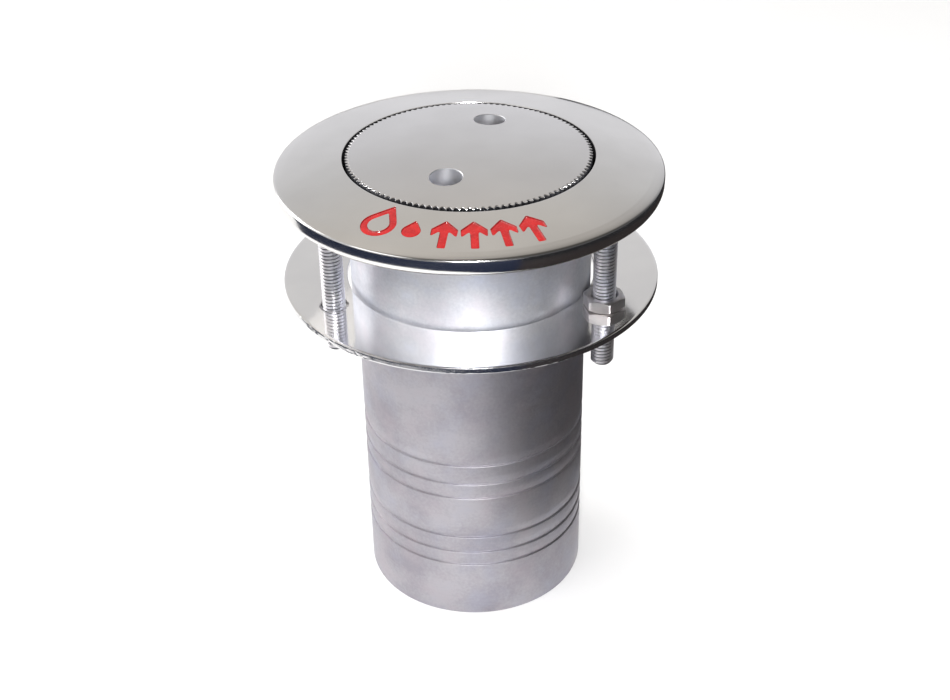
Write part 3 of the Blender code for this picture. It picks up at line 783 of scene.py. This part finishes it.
def make_cap():
    columns = TOOTH_COUNT * len(TOOTH_CUTS)
    cap = turned("cap_disc", cap_profile(), columns, closed=False, bend=tooth_bend, sharp=28.0)
    cutters = []
    for number, azimuth in enumerate((KEY_HOLE_AZIMUTH, KEY_HOLE_AZIMUTH + math.pi), 1):
        top = dome(KEY_HOLE_PLACE)
        floor = top - KEY_HOLE_DEPTH
        x, y = polar(KEY_HOLE_PLACE, azimuth)
        points, faces = turned_points([
            (0.0, top + 2 * MM),
            (KEY_HOLE_RADIUS + 2.14 * MM, top + 2 * MM),
            (KEY_HOLE_RADIUS, top - 0.14 * MM),
            (KEY_HOLE_RADIUS, floor + 0.5 * MM),
            (KEY_HOLE_RADIUS - 0.5 * MM, floor + 0.1 * MM),
            (0.0, floor),
        ], 64, closed=False)
        on_cap = []
        for px, py, pz in moved(points, x, y):
            follows_dome = pz > top - 1 * MM
            on_cap.append((px, py, pz + dome(math.hypot(px, py)) - top if follows_dome else pz))
        cutters.append(from_points(f"key_hole_{number}", on_cap, faces))
    boolean(cap, combined("key_holes", cutters), "DIFFERENCE", 28.0)
    smooth_dome(cap)
    finish_piece(cap, "cap", ["cap"], "polished_steel", CAP_STEEL, HOLE_STEEL, GAP_SHADE_STEEL)
    for face in cap.data.polygons:
        radius = face.center.xy.length
        if radius < SKIRT_RADIUS:
            face.material_index = int(face.normal.z < 0.9)
        # The cap's toothed side and underside take the very dark gap steel: painted shade in the gap between
        # cap and flange.
        elif face.center.z < dome(radius) - 0.25 * MM:
            face.material_index = 2
    make_skirt()


def make_skirt():
    """The cap's threaded skirt, and the boss that holds the retainer's screw."""
    overlap = CAP_FLOOR_Z + 0.8 * MM
    hole = 1.6 * MM
    skirt = turned("cap_skirt", [
        (SKIRT_RADIUS, overlap),
        (SKIRT_RADIUS, SKIRT_END_Z + 0.5 * MM),
        (SKIRT_RADIUS - 0.5 * MM, SKIRT_END_Z),
        (SKIRT_BORE_RADIUS + 0.3 * MM, SKIRT_END_Z),
        (SKIRT_BORE_RADIUS, SKIRT_END_Z + 0.3 * MM),
        (SKIRT_BORE_RADIUS, overlap),
    ], 216)
    inner, outer = SKIRT_RADIUS - 0.6 * MM, SKIRT_RADIUS + CAP_THREAD_DEPTH
    ridge = helical_bar("skirt_ridge", inner, outer, 1.9 * MM, 0.9 * MM, 0.0, RIDGE_TURNS)
    boolean(skirt, ridge, "UNION", 30.0)
    finish_piece(skirt, "cap", ["cap"], "polished_steel", NUT_STEEL)
    boss = turned("cap_boss", [
        (BOSS_RADIUS, overlap),
        (BOSS_RADIUS, BOSS_END_Z + 0.3 * MM),
        (BOSS_RADIUS - 0.3 * MM, BOSS_END_Z),
        (hole, BOSS_END_Z),
        (hole, overlap),
    ], 64)
    finish_piece(boss, "cap", ["cap"], "polished_steel", NUT_STEEL)


def make_o_ring():
    low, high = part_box("cap_o_ring")
    section = (high.z - low.z) / 2
    middle = high.x - section
    ring = turned("seal_ring", arc((middle, (low.z + high.z) / 2), section, 0, 345, 23), 192, sharp=80.0)
    return finish_piece(ring, "cap", ["cap_o_ring"], "seal_rubber", RUBBER)


# ---------------------------------------------------------------- studs, nuts, washers, plate

def thread_radius(z, angle, low, high):
    """The radius of an M5 thread at a height, with a chamfer at both ends."""
    turn = (z / STUD_PITCH - angle / FULL_TURN) % 1.0
    from_crest = abs(turn - 0.5)
    share = min(1.0, max(0.0, (from_crest - 0.0625) / 0.3125))
    radius = STUD_RADIUS - 0.02 * MM - (STUD_RADIUS - STUD_ROOT) * share
    chamfer = STUD_RADIUS - 0.75 * MM + min(z - low, high - z)
    return min(radius, chamfer)


def threaded_rod(low, high, columns=40):
    """A rod whose rows of points follow the thread's corners, cut square at both ends."""
    corners = (0.06, 0.20, 0.4375, 0.5625, 0.80, 0.94)
    rows_per_turn = len(corners)
    first = math.floor(low / STUD_PITCH) - 1
    count = (math.ceil(high / STUD_PITCH) + 1 - first) * rows_per_turn
    points = []
    for column in range(columns):
        angle = FULL_TURN * column / columns
        for row in range(count):
            turn = first + row // rows_per_turn + corners[row % rows_per_turn]
            z = min(max(STUD_PITCH * (turn + column / columns), low), high)
            radius = thread_radius(z, angle, low, high)
            points.append((radius * math.cos(angle), radius * math.sin(angle), z))
    faces = []
    for column in range(columns):
        following = (column + 1) % columns
        shift = rows_per_turn if following == 0 else 0
        for row in range(count - 1):
            if row + 1 + shift >= count:
                continue
            a, b = column * count + row, following * count + row + shift
            faces.append((a, b, b + 1, a + 1))
    for end, row in ((low, 0), (high, count - 1)):
        centre = len(points)
        points.append((0.0, 0.0, end))
        for column in range(columns):
            faces.append((centre, column * count + row, ((column + 1) % columns) * count + row))
    return points, faces


def make_stud(side):
    node = "stud_" + side
    low, high = bottom_of(node), top_of(node)
    points, faces = threaded_rod(low, high)
    x, y = axis_of(node)
    rod = from_points(f"{node}_thread", moved(points, x, y), faces, 32.0)
    finish_piece(rod, "deck_fitting", [node], "fastener_steel", STUD_STEEL, ROOT_SHADE_STEEL)
    root = STUD_RADIUS - 0.27 * MM
    for face in rod.data.polygons:
        reach = math.hypot(face.center.x - x, face.center.y - y)
        is_end = abs(face.normal.z) > 0.95
        # Faces in the thread's roots take the dark root steel: painted shade in the roots between the
        # crests.
        face.material_index = int(reach < root and not is_end)
    return rod


def make_nut(node, body):
    """A hexagon nut, chamfered to a round at both ends, with a countersunk threaded bore."""
    low, high = bottom_of(node), top_of(node)
    height = high - low
    x, y = axis_of(node)
    cad_points = [Vector((v.co.x - x, v.co.y - y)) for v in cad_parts[node].data.vertices]
    corner = max(cad_points, key=lambda p: p.length)
    first = math.atan2(corner.y, corner.x)
    flat = NUT_ACROSS_FLATS / 2
    land = flat - 0.15 * MM
    bore = STUD_RADIUS + 0.2 * MM
    columns = 96
    corner_limit = flat / math.cos(math.pi / 6) * 0.982

    def across(angle):
        """The hexagon's radius, with its corners slightly rounded."""
        turn = (angle + math.pi / 6) % (math.pi / 3) - math.pi / 6
        return min(flat / math.cos(math.pi / 6 - abs(turn)), corner_limit)

    sunk = 0.3 * MM
    mouth = bore + 0.35 * MM
    rings = [(mouth, height, 0), (land, height, 0), (None, height, 0.5), (None, height, 1)]
    rings += [(None, 0.0, -1), (None, 0.0, -0.5), (land, 0.0, 0), (mouth, 0.0, 0)]
    rings += [(bore, sunk, 0), (bore, height - sunk, 0)]
    points = []
    for radius, level, edge in rings:
        for i in range(columns):
            angle = FULL_TURN * i / columns
            hexagon = across(angle)
            z = level
            r = radius
            if radius is None:
                r = land + (hexagon - land) * abs(edge)
                fall = (r - land) * math.tan(math.radians(30))
                z = height - fall if edge > 0 else fall
            points.append((x + r * math.cos(angle + first), y + r * math.sin(angle + first), low + z))
    faces = []
    for k in range(len(rings)):
        faces += ring_faces(k * columns, (k + 1) % len(rings) * columns, columns)
    nut = from_points(node + "_hexagon", points, faces, 24.0)
    return finish_piece(nut, body, [node], "fastener_steel", NUT_STEEL)


def make_washer(side):
    node = "washer_" + side
    low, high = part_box(node)
    outer = (high.x - low.x) / 2
    inner = STUD_RADIUS + 0.2 * MM
    edge = 0.12 * MM
    points, faces = turned_points([
        (inner, high.z - edge),
        (inner + edge, high.z),
        (outer - edge, high.z),
        (outer, high.z - edge),
        (outer, low.z + edge),
        (outer - edge, low.z),
        (inner + edge, low.z),
        (inner, low.z + edge),
    ], 64, closed=True)
    washer = from_points(node + "_disc", moved(points, *axis_of(node)), faces)
    return finish_piece(washer, "clamp_plate", [node], "fastener_steel", WASHER_STEEL)


def make_plate():
    low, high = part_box("backing_plate")
    outer = high.x
    thickness = high.z - low.z

    def bend(radius, height, angle):
        """The sheared edge is a little nicked."""
        if radius < outer - 0.35 * MM:
            return radius, height
        around = Vector((outer * math.cos(angle), outer * math.sin(angle), height))
        patch = max(0.0, noise.noise(around * 60) + 0.1)
        nick = max(0.0, noise.noise(around * 2200) - 0.15) * 0.35 * MM * patch
        return radius - nick - 0.012 * MM * (1 + noise.noise(around * 500)), height

    rows = [(PLATE_HOLE_RADIUS + 0.15 * MM, high.z)]
    rows += [(r * MM, high.z) for r in (30, 33, 36, 39, 40.4)]
    rows += [(outer - 0.22 * MM, high.z), (outer - 0.06 * MM, high.z - 0.07 * MM)]
    rows += [(outer, high.z - 0.2 * MM)]
    rows += [(outer, high.z - thickness * share) for share in (0.3, 0.45, 0.6, 0.75)]
    rows += [(outer, low.z + 0.2 * MM), (outer - 0.08 * MM, low.z + 0.06 * MM)]
    rows += [(outer - 0.25 * MM, low.z)]
    rows += [(r * MM, low.z) for r in (39, 33)]
    rows += [(PLATE_HOLE_RADIUS + 0.15 * MM, low.z), (PLATE_HOLE_RADIUS, low.z + 0.15 * MM)]
    rows += [(PLATE_HOLE_RADIUS, high.z - 0.15 * MM)]
    plate = turned("plate_disc", rows, 720, bend=bend, sharp=30.0)
    below, above = low.z - 1 * MM, high.z + 1 * MM
    holes = [
        cylinder("plate_hole_" + side, PLATE_STUD_HOLE_RADIUS, below, above, axis_of("stud_" + side))
        for side in STUD_SIDES
    ]
    boolean(plate, combined("plate_holes", holes), "DIFFERENCE", 30.0)
    finish_piece(plate, "clamp_plate", ["backing_plate"], "polished_steel", PLATE_STEEL, EDGE_STEEL)
    for face in plate.data.polygons:
        at_edge = face.center.xy.length > outer - 0.4 * MM
        face.material_index = int(at_edge and abs(face.normal.z) < 0.5)
    return plate


# ---------------------------------------------------------------- cap retainer

def tube_points(path, radius, sides):
    """Points (u, across, w) and faces of a round wire along a flat closed path of (u, w) points."""
    points = []
    count = len(path)
    for i, here in enumerate(path):
        along = (Vector(path[(i + 1) % count]) - Vector(path[i - 1])).normalized()
        outward = Vector((along.y, -along.x))
        for k in range(sides):
            side, lift = polar(radius, FULL_TURN * k / sides)
            points.append((here[0] + side * outward.x, lift, here[1] + side * outward.y))
    faces = []
    for i in range(count):
        faces += ring_faces(i * sides, (i + 1) % count * sides, sides)
    return points, faces


def make_link(number):
    node = f"chain_link_{number}"
    low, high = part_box(node)
    wire = 0.8 * MM
    end_radius = 2.0 * MM
    straight = (high.z - low.z) / 2 - end_radius - wire
    middle = ((low.x + high.x) / 2, (low.y + high.y) / 2, (low.z + high.z) / 2)
    angles = np.linspace(0, math.pi, 17)
    half = [(end_radius * math.cos(a), straight + end_radius * math.sin(a)) for a in angles]
    path = half + [(-u, -w) for u, w in half]
    points, faces = tube_points(path, wire - 0.01 * MM, 16)
    if number % 2 == 0:
        points = [(y, x, z) for x, y, z in points]
    link = from_points(node + "_wire", moved(points, *middle), faces, 80.0)
    return finish_piece(link, "cap_retainer", [node], "chain_steel", CHAIN_STEEL)


def soften(obj, width, segments=3):
    """Applies a small bevel to the sharp edges."""
    bevel = obj.modifiers.new("edges", "BEVEL")
    bevel.width = width
    bevel.segments = segments
    bevel.limit_method = "ANGLE"
    bevel.angle_limit = math.radians(40)
    bpy.context.view_layer.update()
    mesh = bpy.data.meshes.new_from_object(obj.evaluated_get(bpy.context.evaluated_depsgraph_get()))
    obj.modifiers.clear()
    obj.data = mesh
    mesh.shade_smooth()
    mesh.set_sharp_from_angle(angle=math.radians(45))
    return obj


def eye_outline(half_width, top, hole_z, eye, steps=16):
    """A strip's (y, z) outline: square at the top and round about its eye at the bottom."""
    angles = np.linspace(0, -math.pi, steps + 1)
    lower = [(eye * math.cos(a), hole_z + eye * math.sin(a)) for a in angles]
    shoulder = hole_z + 1.0 * MM
    upper = [(-half_width, top), (half_width, top), (half_width, shoulder)]
    return upper + lower + [(-half_width, shoulder)]


def upright(name, outline, x, half):
    """An outline of (y, z) points as a plate square to X."""
    count = len(outline)
    points = [(x - half, y, z) for y, z in outline] + [(x + half, y, z) for y, z in outline]
    faces = [tuple(range(count)), tuple(range(count, 2 * count))] + ring_faces(0, count, count)
    return from_points(name, points, faces)


def round_x(name, radius, x, z, count=40):
    """A short cutter along X."""
    angles = np.linspace(0, FULL_TURN, count, False)
    circle = [(radius * math.cos(a), z + radius * math.sin(a)) for a in angles]
    return upright(name, circle, x, 3 * MM)


def make_tab():
    """The swivel tab: a strip with a screw hole, bent down into a leg with an eye for the chain."""
    low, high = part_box("swivel_tab")
    half = 0.6 * MM
    thickness = 1.2 * MM
    x = high.x - half
    hole_z = low.z + 2.7 * MM
    half_width = high.y
    top_z = high.z
    end = high.x - 0.3 * MM
    strip = [(low.x, -half_width), (end, -half_width), (end, half_width), (low.x, half_width)]
    flat = prism("tab_formed", strip, top_z - thickness, top_z)
    leg = upright("tab_leg", eye_outline(half_width, top_z - half * 0.6, hole_z, 2.7 * MM), x, half)
    boolean(flat, leg, "UNION")
    boolean(flat, cylinder("tab_hole", 1.7 * MM, top_z - 3 * MM, top_z + 1 * MM), "DIFFERENCE")
    boolean(flat, round_x("tab_eye", 1.5 * MM, x, hole_z), "DIFFERENCE")
    soften(flat, 0.12 * MM, 2)
    return finish_piece(flat, "cap_retainer", ["swivel_tab"], "chain_steel", CHAIN_STEEL)


def make_screw():
    """A pan-head screw with a slot."""
    low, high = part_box("swivel_screw")
    shank = 1.5 * MM
    head = 2.8 * MM
    shank_end = low.z + 1.7 * MM
    rim_z = shank_end - 0.5 * MM
    crown = 1.2 * MM
    angles = np.linspace(0, math.pi / 2, 8)
    dome_rows = [(head * math.cos(a) ** 0.6, rim_z - crown * math.sin(a)) for a in angles]
    rows = [(0.0, high.z), (shank - 0.2 * MM, high.z), (shank, high.z - 0.2 * MM)]
    rows += [(shank, shank_end), (head - 0.1 * MM, shank_end)] + dome_rows[:-1] + [(0.0, low.z)]
    screw = turned("pivot_screw", rows, 48, closed=False)
    long, wide = 4 * MM, 0.35 * MM
    slot = [(-long, -wide), (long, -wide), (long, wide), (-long, wide)]
    slot_box = prism("slot_cut", slot, low.z - 1 * MM, low.z + 0.7 * MM)
    boolean(screw, slot_box, "DIFFERENCE")
    return finish_piece(screw, "cap", ["swivel_screw"], "fastener_steel", STUD_STEEL)


def make_toggle():
    """The round toggle bar, with an ear for the last link."""
    low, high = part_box("toggle_bar")
    radius = 1.5 * MM
    rod_z = low.z + radius
    half_length = high.y
    x = (low.x + high.x) / 2
    end = 0.5 * MM
    angles = np.linspace(0, math.pi / 2, 5)
    side, top = radius - end, half_length - end
    profile = [(0.0, half_length)]
    profile += [(side + end * math.sin(a), top + end * math.cos(a)) for a in angles]
    profile += [(r, -w) for r, w in reversed(profile)]
    points, faces = turned_points(profile, 40, closed=False)
    rod = from_points("toggle_rod", [(px + x, pz, py + rod_z) for px, py, pz in points], faces, 40.0)
    eye_z = rod_z + 2.7 * MM
    outline = [(y, 2 * eye_z - z) for y, z in eye_outline(3.2 * MM, 2 * eye_z - rod_z, eye_z, 2.7 * MM)]
    ear = upright("toggle_ear", outline, x, 0.6 * MM)
    boolean(rod, ear, "UNION")
    boolean(rod, round_x("toggle_eye", 1.5 * MM, x, eye_z), "DIFFERENCE")
    return finish_piece(rod, "cap_retainer", ["toggle_bar"], "chain_steel", CHAIN_STEEL)


# ---------------------------------------------------------------- the object

make_flange(make_marks())
make_tail()
make_cap()
make_o_ring()
make_plate()
for side in STUD_SIDES:
    make_stud(side)
    make_washer(side)
    make_nut("lower_nut_" + side, "lower_nut_" + side)
make_nut("upper_nut_right", "upper_nut_right")
make_tab()
make_screw()
for number in range(1, 6):
    make_link(number)
make_toggle()


# ---------------------------------------------------------------- stage, light and camera

def plain_material(name, colour, roughness):
    """Matt paper or felt, very slightly uneven."""
    made = Shade(name)
    soft = made.noise(40.0, 2.0)
    other = [c * 0.985 for c in colour]
    made.connect(
        colour=made.mix(soft, rgb(*colour), rgb(*other)),
        roughness=made.span(soft, 0.0, 1.0, roughness, roughness + 0.1),
    )
    made.shader.inputs["Specular IOR Level"].default_value = 0.1
    return made.material


def make_floor():
    half = 3.0
    floor = prism("floor", [(-half, -half), (half, -half), (half, half), (-half, half)], -0.02, 0.0)
    floor.data.materials.append(plain_material("paper", (0.9, 0.9, 0.9), 0.7))


def dark_strip(name, points, colour):
    """A strip of dark felt, from pairs of points, that only reflections show."""
    faces = [(i, i + 1, i + 3, i + 2) for i in range(0, len(points) - 2, 2)]
    card = from_points(name, points, faces)
    card.data.materials.append(plain_material(name + "_felt", colour, 0.9))
    card.visible_camera = False
    card.visible_diffuse = False
    card.visible_shadow = False


def reflector(name, inner, outer, start, end, colour):
    """A dark card on the floor. (azimuth, radius) pairs give its inner edge."""
    points = []
    for degrees in np.linspace(start, end, 49):
        near = np.interp(degrees, [a for a, _ in inner], [r for _, r in inner]) * MM
        points += [(*polar(radius, math.radians(degrees)), 0.4 * MM) for radius in (near, outer)]
    dark_strip(name, points, colour)


def flag(name, radius, height, start, end, colour):
    """A dark upright screen round part of the object."""
    points = []
    for degrees in np.linspace(start, end, 33):
        points += [(*polar(radius, math.radians(degrees)), z) for z in (0.5 * MM, height)]
    dark_strip(name, points, colour)


def area_light(name, place, target, size, power, colour=(1.0, 1.0, 1.0)):
    light = bpy.data.lights.new(name, "AREA")
    light.shape = "RECTANGLE"
    light.size, light.size_y = size
    light.energy = power
    light.color = colour
    obj = bpy.data.objects.new(name, light)
    bpy.context.scene.collection.objects.link(obj)
    obj.location = place
    obj.rotation_euler = (Vector(target) - Vector(place)).to_track_quat("-Z", "Y").to_euler()
    return obj


BRIGHT_SIDE = (-0.65, 0.76, 0.0)
CAMERA_PITCH = math.radians(90 - 32.52)
CAMERA_ROLL = math.radians(-1.02)


def make_world():
    """A soft studio: bright and cool low down behind the object, warmer above, dark in front."""
    world = bpy.data.worlds.new("studio")
    bpy.context.scene.world = world
    world.use_nodes = True
    tree = world.node_tree
    background = tree.nodes["Background"]

    direction = add_node(tree, "ShaderNodeTexCoord").outputs["Generated"]
    parts = add_node(tree, "ShaderNodeSeparateXYZ", {"Vector": direction})
    ramp = add_node(tree, "ShaderNodeValToRGB", {"Fac": parts.outputs["Z"]})
    ramp.color_ramp.interpolation = "B_SPLINE"
    stops = (
        (0.0, (0.84, 0.84, 0.87)),
        (0.25, (0.82, 0.82, 0.85)),
        (0.52, (0.63, 0.627, 0.63)),
        (0.72, (0.66, 0.625, 0.58)),
        (1.0, (0.70, 0.655, 0.60)),
    )
    elements = ramp.color_ramp.elements
    for _ in range(len(stops) - 2):
        elements.new(0.5)
    for element, (position, colour) in zip(elements, stops):
        element.position = position
        element.color = rgb(*colour)
    sides = {0: direction, 1: BRIGHT_SIDE}
    towards = add_node(tree, "ShaderNodeVectorMath", sides, operation="DOT_PRODUCT").outputs["Value"]
    span = {"Value": towards, "From Min": -0.15, "From Max": 0.45, "To Min": 0.12, "To Max": 1.0}
    shade = add_node(tree, "ShaderNodeMapRange", span)
    tree.links.new(ramp.outputs["Color"], background.inputs["Color"])
    tree.links.new(shade.outputs["Result"], background.inputs["Strength"])


def make_camera():
    camera = bpy.data.objects.new("camera", bpy.data.cameras.new("camera"))
    bpy.context.scene.collection.objects.link(camera)
    camera.data.lens = 57.6
    camera.data.sensor_width = 36.0
    camera.data.clip_start = 0.01
    camera.location = (0.6 * MM, -293.2 * MM, RIM_Z + 140.3 * MM)
    pitch = Euler((CAMERA_PITCH, 0.0, 0.0)).to_matrix()
    roll = Matrix.Rotation(CAMERA_ROLL, 3, "Z")
    camera.rotation_euler = (pitch @ roll).to_euler()
    bpy.context.scene.camera = camera


make_floor()
CARD_INNER = [(-200, 165), (-120, 150), (-95, 122), (-80, 80), (-66, 58), (-40, 50), (40, 50), (70, 80)]
reflector("front_card", CARD_INNER, 0.9, -200, -64, (0.006, 0.010, 0.026))
reflector("right_card", CARD_INNER, 0.9, -64, 70, (0.024, 0.020, 0.020))
flag("right_flag", 0.22, 0.10, -64, 80, (0.016, 0.016, 0.018))
make_world()
area_light("key", (-0.01, -0.66, 0.34), (0, 0, 0.08), (0.14, 0.14), 5.8)
area_light("left", (-0.7, 0.35, 0.35), (0, 0, 0.06), (0.5, 0.6), 2.2)
area_light("fill", (-0.55, -0.42, 0.42), (0, 0, 0.06), (0.4, 0.4), 0.8)
wash = area_light("wash", (0, 0, 1.5), (0, 0, 0), (2.0, 2.0), 21.0)
wash.visible_glossy = False
make_camera()
bpy.context.scene.view_settings.view_transform = "Standard"
